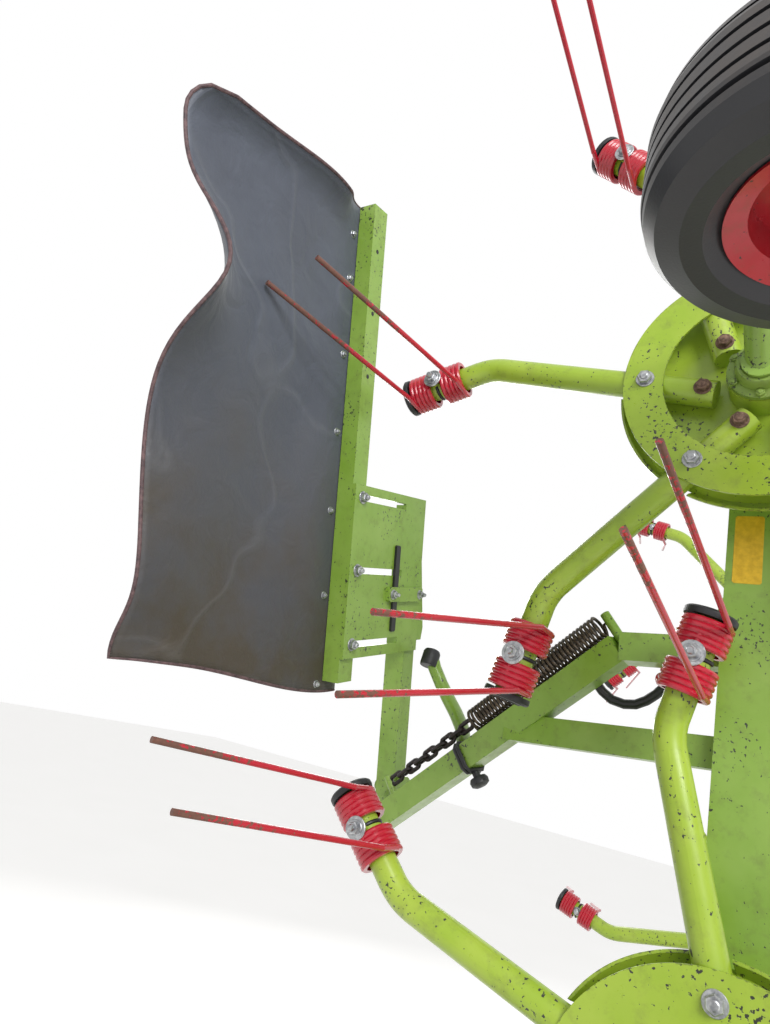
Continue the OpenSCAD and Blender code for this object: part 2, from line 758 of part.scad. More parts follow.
module curtain_channel()
    color("yellowgreen") at_curtain()
    translate([channel_start, post_size / 2 - channel_depth, -plate_reach]) difference() {
        cube([channel_length, channel_depth, 2 * channel_half]);
        translate([-1, -1, 5]) cube([channel_length + 2, channel_depth - 4, 2 * channel_half - 10]);
    }

module curtain_sheet()
    color("darkslategray") at_curtain()
    translate([channel_start + 5, post_size / 2 - channel_depth - seat - sheet_thickness,
        -plate_reach + 2 * channel_half - sheet_drop])
        cube([sheet_length, sheet_thickness, sheet_drop]);

centre_frame();
centre_gearboxes();
centre_legs();
headstock();
parking_stand();
for (s = SIDES) {
    wing_frame(s[1]);
    wing_gearboxes(s[1]);
    wing_legs(s[1]);
    lift_barrel(s[1]);
    lift_rod(s[1]);
}
for (r = ROTORS) {
    rotor_disc(r[1], r[2]);
    rotor_arms(r[1], r[2]);
    rotor_tines(r[1], r[2]);
    rotor_tyre(r[1], r[2]);
    rotor_rim(r[1], r[2]);
}
curtain_carrier();
curtain_spring();
curtain_chain();
curtain_post();
curtain_plate();
curtain_channel();
curtain_sheet();
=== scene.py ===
"""Hay tedder with its wings folded up: finishes, fittings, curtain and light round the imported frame."""
import math

import bmesh
import bpy
from mathutils import Matrix, Vector, noise


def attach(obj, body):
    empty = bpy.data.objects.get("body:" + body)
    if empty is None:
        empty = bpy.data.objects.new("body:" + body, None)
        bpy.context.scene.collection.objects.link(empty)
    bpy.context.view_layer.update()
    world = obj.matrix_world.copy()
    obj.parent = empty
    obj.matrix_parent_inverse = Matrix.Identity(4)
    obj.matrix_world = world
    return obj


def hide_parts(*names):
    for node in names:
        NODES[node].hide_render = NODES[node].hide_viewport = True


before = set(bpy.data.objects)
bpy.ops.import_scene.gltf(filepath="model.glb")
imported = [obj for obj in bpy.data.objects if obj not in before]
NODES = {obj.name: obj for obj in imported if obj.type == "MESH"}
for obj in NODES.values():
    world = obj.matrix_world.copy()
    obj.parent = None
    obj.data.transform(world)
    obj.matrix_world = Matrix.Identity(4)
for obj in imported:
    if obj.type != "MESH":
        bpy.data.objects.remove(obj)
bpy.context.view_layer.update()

# Sizes of the construction, in metres and degrees

# The row of rotors, the beams above it, and the wings' hinges
ROW_Y = -0.1265
RING_Z = 0.633
BEAM_Z = 0.793
HINGE_X = 0.620
HINGE_Z = 0.903
ROTOR_PITCH = 1.1

# Rotors: the clamping ring lies at height 0, and the first arm's angle goes by the rotor's hand
ARM_COUNT = 6
FIRST_ARM = {1: 31, -1: 56}
ARM_Z = 0.0242
ARM_RADIUS = 0.024
RING_BOLT = 0.185
ARM_LEAD = 11.5
ARM_STRAIGHT = 0.300
ARM_BEND = 30
BEND_RADIUS = 0.106
ARM_END = 0.166
TINE_PLACE = 0.0925
BRIDGE = 0.0342
WIRE = 0.0049
DISH_TOP = 0.0524

# Gearboxes, beams and wheels: the wheels' lead goes by their place from the middle outwards
GEARBOX_TOP = 0.218
GEARBOX_HALF = 0.100
BEAM_HALF = 0.047
FLANGE_WALL = 0.012
AXLE_DROP = 0.430
WHEEL_LEAD = {1: 0.020, 2: 0.098, 3: 0.098}
WHEEL_INSET = 0.027

# Curtain: its pivot is a place on the wing in work, and the rest goes from the pivot
PIVOT = (1.940, -0.780, 1.085)
CURTAIN_DROOP = 16
CHANNEL_START = 0.285
CHANNEL_LOW = -0.290
CHANNEL_HIGH = -0.240
CHANNEL_BACK = -0.015
SHEET_START = 0.290
SHEET_LENGTH = 1.040
SHEET_DROP = 0.545
POST_HALF = 0.025
PLATE_FRONT = 0.033

SIDES = (("right", 1), ("left", -1))
PLACES = (("inner", 1), ("middle", 2), ("outer", 3))
ROTORS = [(side_name + "_" + place_name, side, place)
          for side_name, side in SIDES for place_name, place in PLACES]

# The camera stands 2.3 m up, beside the folded right wing, and looks up at its outer end
EYE = Vector((1.9943, -0.0486, 2.3393))
LOOK_RIGHT = Vector((-0.48937, 0.84427, 0.21846))
LOOK_UP = Vector((0.37466, -0.02267, 0.92689))
LENS = 23.795
SENSOR = 36
CLIP_START = 0.02

camera_data = bpy.data.cameras.new("camera")
camera_data.lens = LENS
camera_data.sensor_width = SENSOR
camera_data.clip_start = CLIP_START
camera = bpy.data.objects.new("camera", camera_data)
bpy.context.collection.objects.link(camera)
LOOK_BACK = LOOK_RIGHT.cross(LOOK_UP)
camera.matrix_world = Matrix((
    (LOOK_RIGHT.x, LOOK_UP.x, LOOK_BACK.x, EYE.x),
    (LOOK_RIGHT.y, LOOK_UP.y, LOOK_BACK.y, EYE.y),
    (LOOK_RIGHT.z, LOOK_UP.z, LOOK_BACK.z, EYE.z),
    (0, 0, 0, 1)))
bpy.context.scene.camera = camera
bpy.context.scene.view_settings.view_transform = "Standard"


# Places

def shift(x, y, z):
    return Matrix.Translation((x, y, z))


def turn(degrees, axis):
    return Matrix.Rotation(math.radians(degrees), 4, axis)


MIRROR_X = Matrix.Scale(-1, 4, (1, 0, 0))
MIRROR_Y = Matrix.Scale(-1, 4, (0, 1, 0))

# A fitting is made pointing up along z, and these turn it to point down or forward
DOWN = turn(180, "X")
FORWARD = turn(-90, "X")


def folded(side):
    """From a wing's working position to its place folded up."""
    up = shift(HINGE_X, ROW_Y, HINGE_Z) @ turn(-90, "Y") @ shift(-HINGE_X, 0, -HINGE_Z)
    return MIRROR_X @ up if side < 0 else up


def standing(side):
    """The place of what stands on its own side of the frame."""
    return shift(0, ROW_Y, 0) @ MIRROR_X if side < 0 else shift(0, ROW_Y, 0)


def rotor_frame(side, place):
    """A rotor's own frame: z is its axis, and the clamping ring lies at z = 0."""
    carrier = folded(side) if place > 1 else standing(side)
    return carrier @ shift((place - 0.5) * ROTOR_PITCH, 0, RING_Z)


def arm_frames(side, place):
    """The frames of a rotor's arms, each with its radius along x; neighbouring rotors mirror each other."""
    hand = side if place % 2 else -side
    start = FIRST_ARM[hand] if side > 0 else 180 - FIRST_ARM[hand]
    flip = MIRROR_Y if hand * side < 0 else Matrix.Identity(4)
    rotor = rotor_frame(side, place)
    return [rotor @ turn(start + 360 / ARM_COUNT * i, "Z") @ flip for i in range(ARM_COUNT)]


def arm_end(arm):
    """The frame of an arm's end beyond its bend, the arm along x."""
    return (arm @ shift(RING_BOLT, 0, ARM_Z) @ turn(ARM_LEAD, "Z") @ shift(ARM_STRAIGHT, -BEND_RADIUS, 0)
            @ turn(-ARM_BEND, "Z") @ shift(0, BEND_RADIUS, 0))


def wheel_frame(side, place):
    """A wheel's frame: z is its axle, and runs towards its leg."""
    return (rotor_frame(side, place) @ shift(-WHEEL_INSET, WHEEL_LEAD[place], -AXLE_DROP)
            @ turn(90, "Y"))


def rotor_carrier(side_name, place):
    """The body that a rotor's gearbox rides on."""
    return side_name + "_wing" if place > 1 else "frame"


CURTAIN_FRAME = folded(1) @ shift(*PIVOT) @ turn(CURTAIN_DROOP, "Y")


# Forms: each gives its points and its faces

def turned(profile, sides=20):
    """A turned form about z, from its profile of radii and heights."""
    points, faces, rings = [], [], []
    for radius, height in profile:
        start = len(points)
        if radius == 0:
            points.append((0, 0, height))
            rings.append([start] * sides)
        else:
            points += [(radius * math.cos(2 * math.pi * i / sides),
                        radius * math.sin(2 * math.pi * i / sides), height) for i in range(sides)]
            rings.append(list(range(start, start + sides)))
    for low, high in zip(rings, rings[1:]):
        for i in range(sides):
            j = (i + 1) % sides
            corners = [low[i], low[j], high[j], high[i]]
            faces.append(tuple(dict.fromkeys(corners)))
    return points, [face for face in faces if len(face) > 2]


# An edge broken both ways draws its corner in by about this many times its width
DIAGONAL = 1.4


def slab(outline, low, high, edge=0.0008):
    """A plate of that outline in x and y from one height to another, its upper edge broken."""
    middle = sum((Vector(point) for point in outline), Vector((0, 0))) / len(outline)
    inner = []
    for point in outline:
        inward = middle - Vector(point)
        inner.append(Vector(point) + inward.normalized() * edge * DIAGONAL)
    count = len(outline)
    points = ([(x, y, low) for x, y in outline] + [(x, y, high - edge) for x, y in outline]
              + [(point.x, point.y, high) for point in inner])
    faces = [tuple(reversed(range(count))), tuple(range(2 * count, 3 * count))]
    for ring in (0, count):
        faces += [(ring + i, ring + (i + 1) % count, ring + count + (i + 1) % count, ring + count + i)
                  for i in range(count)]
    return points, faces


def box_outline(width, depth, corner=0.0):
    """A rectangle about the origin, its corners cut by that much."""
    x, y, c = width / 2, depth / 2, corner
    if not c:
        return [(-x, -y), (x, -y), (x, y), (-x, y)]
    return [(-x + c, -y), (x - c, -y), (x, -y + c), (x, y - c),
            (x - c, y), (-x + c, y), (-x, y - c), (-x, -y + c)]


def tube(path, radius, sides=12, closed=False):
    """A round bar along a path of points; a closed one returns to its start."""
    line = [Vector(point) for point in path]
    count = len(line)
    points, faces = [], []
    side_way = None
    for i, point in enumerate(line):
        ahead = line[(i + 1) % count] if closed or i + 1 < count else point
        behind = line[i - 1] if closed or i else point
        along = (ahead - behind).normalized()
        if side_way is None:
            side_way = along.orthogonal().normalized()
        side_way = (side_way - along * side_way.dot(along)).normalized()
        other_way = along.cross(side_way)
        points += [point + radius * (math.cos(2 * math.pi * k / sides) * side_way
                                     + math.sin(2 * math.pi * k / sides) * other_way)
                   for k in range(sides)]
    for i in range(count if closed else count - 1):
        here, there = i * sides, (i + 1) % count * sides
        faces += [(here + k, here + (k + 1) % sides, there + (k + 1) % sides, there + k)
                  for k in range(sides)]
    if not closed:
        faces += [tuple(reversed(range(sides))), tuple(range((count - 1) * sides, count * sides))]
    return points, faces


def hexagon(across, height):
    """A bolt's head or a nut: six flats, its outer face chamfered."""
    radius = across / math.sqrt(3)
    return turned([(0, 0), (radius, 0), (radius, height * 0.82), (radius * 0.86, height), (0, height)], 6)


def washer(radius, height):
    """A round washer, its upper edge broken."""
    return turned([(0, 0), (radius, 0), (radius, height * 0.7), (radius - height * 0.3, height),
                   (0, height)], 24)


# A fastener's proportions, as shares of its bolt's diameter
WASHER_RADIUS = 1.15
WASHER_HEIGHT = 0.18
NUT_ACROSS = 1.55
NUT_HEIGHT = 0.75
NUT_TOP = 0.93


def bolt(size, place, shank=0.004):
    """A washer, a nut and the bolt's rounded end on a surface, pointing along z."""
    end = turned([(0, 0), (size / 2, 0), (size / 2, shank * 0.6), (size * 0.38, shank), (0, shank)], 12)
    return [(washer(size * WASHER_RADIUS, size * WASHER_HEIGHT), place),
            (hexagon(size * NUT_ACROSS, size * NUT_HEIGHT), place @ shift(0, 0, size * WASHER_HEIGHT)),
            (end, place @ shift(0, 0, size * NUT_TOP))]


SHARP_ANGLE = 35


def piece(name, forms, material, body):
    """One object made of placed forms, riding on a body."""
    mesh = bpy.data.meshes.new(name)
    build = bmesh.new()
    for (points, faces), place in forms:
        made = [build.verts.new(place @ Vector(point)) for point in points]
        for face in faces:
            build.faces.new([made[i] for i in face])
    bmesh.ops.recalc_face_normals(build, faces=build.faces)
    build.to_mesh(mesh)
    build.free()
    mesh.shade_smooth()
    mesh.set_sharp_from_angle(angle=math.radians(SHARP_ANGLE))
    mesh.materials.append(material)
    item = bpy.data.objects.new(name, mesh)
    bpy.context.collection.objects.link(item)
    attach(item, body)
    return item


def finish_node(name, material):
    """Gives a construction node its finish."""
    item = NODES[name]
    if not item.material_slots:
        item.data.materials.append(material)
    for holder in item.material_slots:
        holder.material = material


# Finishes

def tone(code):
    """An sRGB hex colour as linear red, green, blue and alpha."""
    parts = [int(code[i:i + 2], 16) / 255 for i in (0, 2, 4)]
    return [c / 12.92 if c <= 0.04045 else ((c + 0.055) / 1.055) ** 2.4 for c in parts] + [1]


def grain(millimetres):
    """The scale of a pattern whose features are that large."""
    return 1000 / millimetres


def add(tree, kind, inputs=None, **settings):
    """Adds a node with its settings, and its inputs as values or as the outputs that feed them."""
    made = tree.nodes.new("ShaderNode" + kind)
    for name, value in settings.items():
        setattr(made, name, value)
    for name, value in (inputs or {}).items():
        if isinstance(value, bpy.types.NodeSocket):
            tree.links.new(value, made.inputs[name])
        else:
            made.inputs[name].default_value = value
    return made


# Sockets of the Mix node for colours
SHARE, FIRST, SECOND, MIXED = 0, 6, 7, 2


def new_finish(name):
    """An empty material: its tree, its shader, and the place on the object in metres."""
    material = bpy.data.materials.new(name)
    material.use_nodes = True
    tree = material.node_tree
    shader = tree.nodes["Principled BSDF"]
    place = add(tree, "TexCoord").outputs["Object"]
    return material, tree, shader, place


def enamelled_steel(name, fresh, faded, bare, gloss, chipping=0.5):
    """Enamel sprayed on steel tube and sheet: an even colour that the sun fades in soft patches.

    Hay and hands chip it down to dark primer in small sharp flecks, most of all along edges.
    """
    material, tree, shader, place = new_finish(name)
    patches = add(tree, "TexNoise", {"Vector": place, "Scale": grain(160), "Detail": 4, "Roughness": 0.6})
    fade = add(tree, "MapRange", {"Value": patches.outputs["Fac"], "From Min": 0.36, "From Max": 0.66})
    enamel = add(tree, "Mix", {SHARE: fade.outputs[0], FIRST: tone(fresh), SECOND: tone(faded)},
                 data_type="RGBA")
    # Grime settles in a film of streaks about 30 mm wide
    film = add(tree, "TexNoise", {"Vector": place, "Scale": grain(30), "Detail": 6, "Roughness": 0.7})
    grime = add(tree, "MapRange", {"Value": film.outputs["Fac"], "From Min": 0.52, "From Max": 0.80,
                                   "To Max": 0.45})
    soiled = add(tree, "Mix", {SHARE: grime.outputs[0], FIRST: enamel.outputs[MIXED],
                               SECOND: tone("5a5434")}, data_type="RGBA")
    # Chips are flecks of about 7 mm, gathered in places a hand wide
    flecks = add(tree, "TexNoise", {"Vector": place, "Scale": grain(7), "Detail": 3, "Roughness": 0.55})
    places = add(tree, "TexNoise", {"Vector": place, "Scale": grain(95), "Detail": 2})
    gathered = add(tree, "MapRange", {"Value": places.outputs["Fac"], "From Min": 0.40, "From Max": 0.75,
                                      "To Max": 0.16 * chipping})
    rounded = add(tree, "Bevel", {"Radius": 0.003}, samples=4)
    true_face = add(tree, "NewGeometry").outputs["Normal"]
    agree = add(tree, "VectorMath", {0: rounded.outputs[0], 1: true_face}, operation="DOT_PRODUCT")
    on_edge = add(tree, "MapRange", {"Value": agree.outputs["Value"], "From Min": 0.985, "From Max": 0.90,
                                     "To Max": 0.13 * chipping})
    reach = add(tree, "Math", {0: gathered.outputs[0], 1: on_edge.outputs[0]}, operation="ADD")
    lifted = add(tree, "Math", {0: flecks.outputs["Fac"], 1: reach.outputs[0]}, operation="ADD")
    chips = add(tree, "MapRange", {"Value": lifted.outputs[0], "From Min": 0.70, "From Max": 0.725})
    skin = add(tree, "Mix", {SHARE: chips.outputs[0], FIRST: soiled.outputs[MIXED], SECOND: tone(bare)},
               data_type="RGBA")
    tree.links.new(skin.outputs[MIXED], shader.inputs["Base Color"])
    dull = add(tree, "MapRange", {"Value": film.outputs["Fac"], "From Min": 0.3, "From Max": 0.8,
                                  "To Min": gloss, "To Max": gloss + 0.25})
    tree.links.new(dull.outputs[0], shader.inputs["Roughness"])
    # The lip of each chip stands 0.2 mm proud of the steel
    lip = add(tree, "Bump", {"Height": chips.outputs[0], "Distance": 0.0004, "Strength": 0.6}, invert=True)
    tree.links.new(lip.outputs[0], shader.inputs["Normal"])
    shader.inputs["IOR"].default_value = 1.5
    shader.inputs["Coat Weight"].default_value = 0.25
    shader.inputs["Coat Roughness"].default_value = 0.18
    return material


LIME_ENAMEL = enamelled_steel("lime_enamel_on_rotor_tubes", "8fac27", "9fb63c", "2a2b20", 0.26, 1.0)
GREEN_ENAMEL = enamelled_steel("green_enamel_on_frame_tubes", "76992f", "86a645", "2b3022", 0.30, 0.75)
CAST_ENAMEL = enamelled_steel("green_enamel_on_castings", "6f8f2c", "7f9a3f", "32352b", 0.42, 0.9)
RIM_ENAMEL = enamelled_steel("red_enamel_on_pressed_rims", "a90f22", "b8212c", "3a1c1a", 0.26, 0.4)
BLACK_ENAMEL = enamelled_steel("black_enamel_on_cylinders", "17181a", "232426", "4a3c34", 0.30, 0.6)


def tine_enamel(name, axis, offset):
    """Red enamel on spring steel wire: glossy on the coils, worn off the legs by the crop.

    axis and offset give the depth under the clamping ring; the bare wire is brown with rust.
    """
    material, tree, shader, place = new_finish(name)
    depth = add(tree, "VectorMath", {0: place, 1: axis}, operation="DOT_PRODUCT")
    # Neighbouring tines differ in how far they are worn, over about 400 mm
    wander = add(tree, "TexNoise", {"Vector": place, "Scale": grain(420), "Detail": 1})
    spread = add(tree, "Math", {0: wander.outputs["Fac"], 1: 1.1, 2: offset - 0.55},
                 operation="MULTIPLY_ADD")
    worn_at = add(tree, "Math", {0: depth.outputs["Value"], 1: spread.outputs[0]}, operation="ADD")
    wear = add(tree, "MapRange", {"Value": worn_at.outputs[0], "From Min": 0.12, "From Max": 0.44,
                                  "To Min": -0.16, "To Max": 0.30})
    # Flecks of about 8 mm join up to bare wire
    flecks = add(tree, "TexNoise", {"Vector": place, "Scale": grain(8), "Detail": 3, "Roughness": 0.6})
    lifted = add(tree, "Math", {0: flecks.outputs["Fac"], 1: wear.outputs[0]}, operation="ADD")
    bare = add(tree, "MapRange", {"Value": lifted.outputs[0], "From Min": 0.62, "From Max": 0.66})
    streaks = add(tree, "TexNoise", {"Vector": place, "Scale": grain(35), "Detail": 3})
    red = add(tree, "Mix", {SHARE: streaks.outputs["Fac"], FIRST: tone("a20c24"), SECOND: tone("bd1f33")},
              data_type="RGBA")
    rust = add(tree, "Mix", {SHARE: flecks.outputs["Fac"], FIRST: tone("3c211c"), SECOND: tone("7d5140")},
               data_type="RGBA")
    skin = add(tree, "Mix", {SHARE: bare.outputs[0], FIRST: red.outputs[MIXED],
                             SECOND: rust.outputs[MIXED]}, data_type="RGBA")
    tree.links.new(skin.outputs[MIXED], shader.inputs["Base Color"])
    gloss = add(tree, "MapRange", {"Value": bare.outputs[0], "To Min": 0.24, "To Max": 0.7})
    tree.links.new(gloss.outputs[0], shader.inputs["Roughness"])
    skin_edge = add(tree, "Bump", {"Height": lifted.outputs[0], "Distance": 0.0006, "Strength": 0.35})
    tree.links.new(skin_edge.outputs[0], shader.inputs["Normal"])
    shader.inputs["Coat Weight"].default_value = 0.3
    shader.inputs["Coat Roughness"].default_value = 0.15
    return material


FOLDED_RING_X = HINGE_X + HINGE_Z - RING_Z
TINE_ENAMEL = {
    "frame": tine_enamel("red_enamel_on_middle_tines", (0, 0, -1), RING_Z),
    "right_wing": tine_enamel("red_enamel_on_right_tines", (1, 0, 0), -FOLDED_RING_X),
    "left_wing": tine_enamel("red_enamel_on_left_tines", (-1, 0, 0), -FOLDED_RING_X),
}


def tyre_rubber(name, axle):
    """Moulded tyre rubber: near black with a bluish sheen on its walls, and brown dust on the tread."""
    material, tree, shader, place = new_finish(name)
    face = add(tree, "TexCoord").outputs["Normal"]
    sideways = add(tree, "VectorMath", {0: face, 1: axle}, operation="DOT_PRODUCT")
    flatness = add(tree, "Math", {0: sideways.outputs["Value"]}, operation="ABSOLUTE")
    on_tread = add(tree, "MapRange", {"Value": flatness.outputs[0], "From Min": 0.55, "From Max": 0.12})
    # Dust lies in cloudy patches of about 40 mm
    cloud = add(tree, "TexNoise", {"Vector": place, "Scale": grain(42), "Detail": 6, "Roughness": 0.65})
    dust = add(tree, "MapRange", {"Value": cloud.outputs["Fac"], "From Min": 0.38, "From Max": 0.72,
                                  "To Min": 0.06, "To Max": 0.42})
    share = add(tree, "Math", {0: dust.outputs[0], 1: on_tread.outputs[0]}, operation="MULTIPLY")
    thin = add(tree, "Math", {0: share.outputs[0], 1: 0.05}, operation="ADD")
    skin = add(tree, "Mix", {SHARE: thin.outputs[0], FIRST: tone("15181f"), SECOND: tone("5d5249")},
               data_type="RGBA")
    tree.links.new(skin.outputs[MIXED], shader.inputs["Base Color"])
    dull = add(tree, "MapRange", {"Value": share.outputs[0], "To Min": 0.42, "To Max": 0.9})
    tree.links.new(dull.outputs[0], shader.inputs["Roughness"])
    # The rubber's own grit of about 1 mm is drawn as 3 mm so that it shows
    grit = add(tree, "TexNoise", {"Vector": place, "Scale": grain(3), "Detail": 2})
    relief = add(tree, "Bump", {"Height": grit.outputs["Fac"], "Distance": 0.0008, "Strength": 0.18})
    tree.links.new(relief.outputs[0], shader.inputs["Normal"])
    shader.inputs["IOR"].default_value = 1.52
    shader.inputs["Sheen Weight"].default_value = 0.12
    shader.inputs["Sheen Roughness"].default_value = 0.5
    return material


WING_TYRE = tyre_rubber("moulded_tyre_rubber_on_wings", (0, 0, 1))
MIDDLE_TYRE = tyre_rubber("moulded_tyre_rubber_in_middle", (1, 0, 0))


def plain_finish(name, low, high, size, rough_low, rough_high, metallic=0.0, relief=0.0003):
    """A finish that varies softly between two colours over features of that size in millimetres."""
    material, tree, shader, place = new_finish(name)
    cloud = add(tree, "TexNoise", {"Vector": place, "Scale": grain(size), "Detail": 5, "Roughness": 0.62})
    share = add(tree, "MapRange", {"Value": cloud.outputs["Fac"], "From Min": 0.36, "From Max": 0.66})
    skin = add(tree, "Mix", {SHARE: share.outputs[0], FIRST: tone(low), SECOND: tone(high)},
               data_type="RGBA")
    tree.links.new(skin.outputs[MIXED], shader.inputs["Base Color"])
    dull = add(tree, "MapRange", {"Value": cloud.outputs["Fac"], "From Min": 0.3, "From Max": 0.7,
                                  "To Min": rough_low, "To Max": rough_high})
    tree.links.new(dull.outputs[0], shader.inputs["Roughness"])
    fine = add(tree, "TexNoise", {"Vector": place, "Scale": grain(size / 5), "Detail": 3})
    skin_relief = add(tree, "Bump", {"Height": fine.outputs["Fac"], "Distance": relief, "Strength": 0.5})
    tree.links.new(skin_relief.outputs[0], shader.inputs["Normal"])
    shader.inputs["Metallic"].default_value = metallic
    return material


# Zinc-plated fasteners: grey, spangled and dulled by weather, some browned by rust
ZINC_PLATE = plain_finish("zinc_plated_fasteners", "8e9094", "c3c5c6", 9, 0.28, 0.5, 0.9)
RUSTY_STEEL = plain_finish("rusted_plain_fasteners", "4a342b", "8a6f5c", 7, 0.55, 0.85, 0.25, 0.0006)
# Hard chrome on a ground rod: a clear mirror with faint oil film
HARD_CHROME = plain_finish("hard_chrome_on_ground_rod", "c6c8cb", "dadcde", 60, 0.06, 0.16, 1.0, 0.00002)
# Hot-dip zinc: pale grey with a soft spangle about 20 mm wide
HOT_ZINC = plain_finish("hot_dip_zinc_on_stand", "8f9396", "abafb1", 20, 0.38, 0.55, 0.85)
# Moulded polyethylene caps: black, satin, scuffed to grey
CAP_PLASTIC = plain_finish("moulded_black_polyethylene", "101012", "232427", 14, 0.38, 0.6)
# Extruded hose rubber: black and slightly shiny; the same black also serves as painted shade in the
# channel's drain holes
HOSE_RUBBER_AND_HOLE_SHADE = plain_finish("extruded_hose_rubber_and_painted_hole_shade", "0c0d0f", "1b1c1e", 25, 0.35, 0.55)
# Greased chain steel: black, wet-looking grease with dust and rust through it
GREASED_STEEL = plain_finish("greased_chain_steel", "0d0b10", "3a2f2c", 8, 0.25, 0.75, 0.35, 0.0012)
# Oil-tempered spring wire: dark brown with a dull shine on top of each turn
SPRING_STEEL = plain_finish("oil_tempered_spring_wire", "1c1815", "5a4d39", 5, 0.35, 0.6, 0.5, 0.0002)
# Yellow polyester film, blank, scratched and dirty
YELLOW_FILM = plain_finish("blank_yellow_film", "c9a01c", "e2b92a", 12, 0.32, 0.5)
# Red plastic dust cap
RED_PLASTIC = plain_finish("moulded_red_dust_cap", "b01a20", "c8272c", 12, 0.35, 0.5)


def curtain_cloth():
    """Rubber-coated canvas: smooth matt blue-grey, creased where it was folded.

    Dust browns its lower part, and the weave under the rubber shows as a faint grain.
    """
    material, tree, shader, place = new_finish("rubber_coated_canvas")
    height = add(tree, "SeparateXYZ", {0: place}).outputs["Z"]
    cloud = add(tree, "TexNoise", {"Vector": place, "Scale": grain(140), "Detail": 5, "Roughness": 0.6})
    lowness = add(tree, "MapRange", {"Value": height, "From Min": 3.1, "From Max": 2.35})
    dusty = add(tree, "Math", {0: lowness.outputs[0], 1: cloud.outputs["Fac"]}, operation="MULTIPLY")
    share = add(tree, "MapRange", {"Value": dusty.outputs[0], "From Min": 0.08, "From Max": 0.52})
    clean = add(tree, "Mix", {SHARE: cloud.outputs["Fac"], FIRST: tone("383c47"), SECOND: tone("565c68")},
                data_type="RGBA")
    skin = add(tree, "Mix", {SHARE: share.outputs[0], FIRST: clean.outputs[MIXED],
                             SECOND: tone("40392f")}, data_type="RGBA")
    # Along old folds the rubber is rubbed a little paler, in stretches that fade out
    folds = add(tree, "TexNoise", {"Vector": place, "Scale": grain(330), "Detail": 2, "Roughness": 0.4})
    off_line = add(tree, "Math", {0: folds.outputs["Fac"], 1: 0.5}, operation="SUBTRACT")
    distance = add(tree, "Math", {0: off_line.outputs[0]}, operation="ABSOLUTE")
    line = add(tree, "MapRange", {"Value": distance.outputs[0], "From Min": 0.016, "From Max": 0.0})
    pale = add(tree, "Math", {0: line.outputs[0], 1: cloud.outputs["Fac"]}, operation="MULTIPLY")
    faint = add(tree, "Math", {0: pale.outputs[0], 1: 0.14}, operation="MULTIPLY")
    marked = add(tree, "Mix", {SHARE: faint.outputs[0], FIRST: skin.outputs[MIXED], SECOND: tone("8a8d92")},
                 data_type="RGBA")
    tree.links.new(marked.outputs[MIXED], shader.inputs["Base Color"])
    dull = add(tree, "MapRange", {"Value": cloud.outputs["Fac"], "To Min": 0.42, "To Max": 0.72})
    tree.links.new(dull.outputs[0], shader.inputs["Roughness"])
    # The weave's threads are under 1 mm apart, and are drawn as 2.5 mm so that they show
    weave = add(tree, "TexNoise", {"Vector": place, "Scale": grain(2.5), "Detail": 2})
    soft = add(tree, "TexNoise", {"Vector": place, "Scale": grain(70), "Detail": 3, "Distortion": 0.8})
    both = add(tree, "Math", {0: weave.outputs["Fac"], 1: 0.06, 2: soft.outputs["Fac"]},
               operation="MULTIPLY_ADD")
    ridge = add(tree, "Math", {0: line.outputs[0], 1: 0.25, 2: both.outputs[0]}, operation="MULTIPLY_ADD")
    relief = add(tree, "Bump", {"Height": ridge.outputs[0], "Distance": 0.012, "Strength": 0.45})
    tree.links.new(relief.outputs[0], shader.inputs["Normal"])
    shader.inputs["Sheen Weight"].default_value = 0.2
    shader.inputs["Sheen Roughness"].default_value = 0.4
    return material


CURTAIN_CLOTH = curtain_cloth()
# The cut edge of the canvas: purple-brown where the weave shows
CUT_EDGE = plain_finish("cut_canvas_edge", "3a2a2e", "6d5556", 10, 0.6, 0.8)


# Finishes of the construction nodes

for name in NODES:
    if name.endswith(("_arms", "_disc")):
        finish_node(name, LIME_ENAMEL)
    elif name.endswith("_rim"):
        finish_node(name, RIM_ENAMEL)
    elif name.endswith("_gearboxes"):
        finish_node(name, CAST_ENAMEL)
    elif name.endswith("_barrel"):
        finish_node(name, BLACK_ENAMEL)
    elif name.endswith("_rod"):
        finish_node(name, HARD_CHROME)
    elif name.endswith("_tyre"):
        finish_node(name, MIDDLE_TYRE if "inner" in name else WING_TYRE)
    elif name.endswith("_tines"):
        carrier = "frame" if "inner" in name else name.split("_")[0] + "_wing"
        finish_node(name, TINE_ENAMEL[carrier])
    else:
        finish_node(name, GREEN_ENAMEL)
finish_node("parking_stand", HOT_ZINC)
finish_node("curtain_spring", SPRING_STEEL)
finish_node("curtain_chain", GREASED_STEEL)


# Rotors: end caps of the arms, bolts of tines and arms, bearing covers

END_CAP = turned([(0, -0.011), (0.0390, -0.011), (0.040, -0.008), (0.040, -0.002), (0.037, 0.001),
                  (0.027, 0.002), (0.025, 0.004), (0, 0.004)], 32)
BEARING_COVER = turned([(0.031, -0.002), (0.053, -0.002), (0.053, -0.010), (0.047, -0.014),
                        (0.041, -0.014), (0.039, -0.030), (0.036, -0.034), (0.031, -0.034)], 32)
BEARING_BOLT = 0.008
BEARING_BOLT_CIRCLE = 0.0465
BEARING_BOLT_FACE = -0.012
PAD_WIRE = 0.0035
PAD_ANGLES = [math.radians(10 * k) for k in range(36)]
TINE_PAD = tube([(TINE_PLACE, ARM_RADIUS * math.cos(angle), ARM_RADIUS * math.sin(angle))
                 for angle in PAD_ANGLES], PAD_WIRE, 8, True)
TINE_BOLT = 0.012
TINE_BOLT_FACE = -BRIDGE - WIRE - 0.0012
TINE_WASHER_HEIGHT = 0.0032
TINE_WASHER = washer(0.0195, TINE_WASHER_HEIGHT)
RIM_BOLT = 0.014
RIM_BOLT_FACE = -0.004
HUB_BOLT = 0.013
HUB_BOLT_FACE = 0.0015
HUB_BOLT_INSET = 0.098


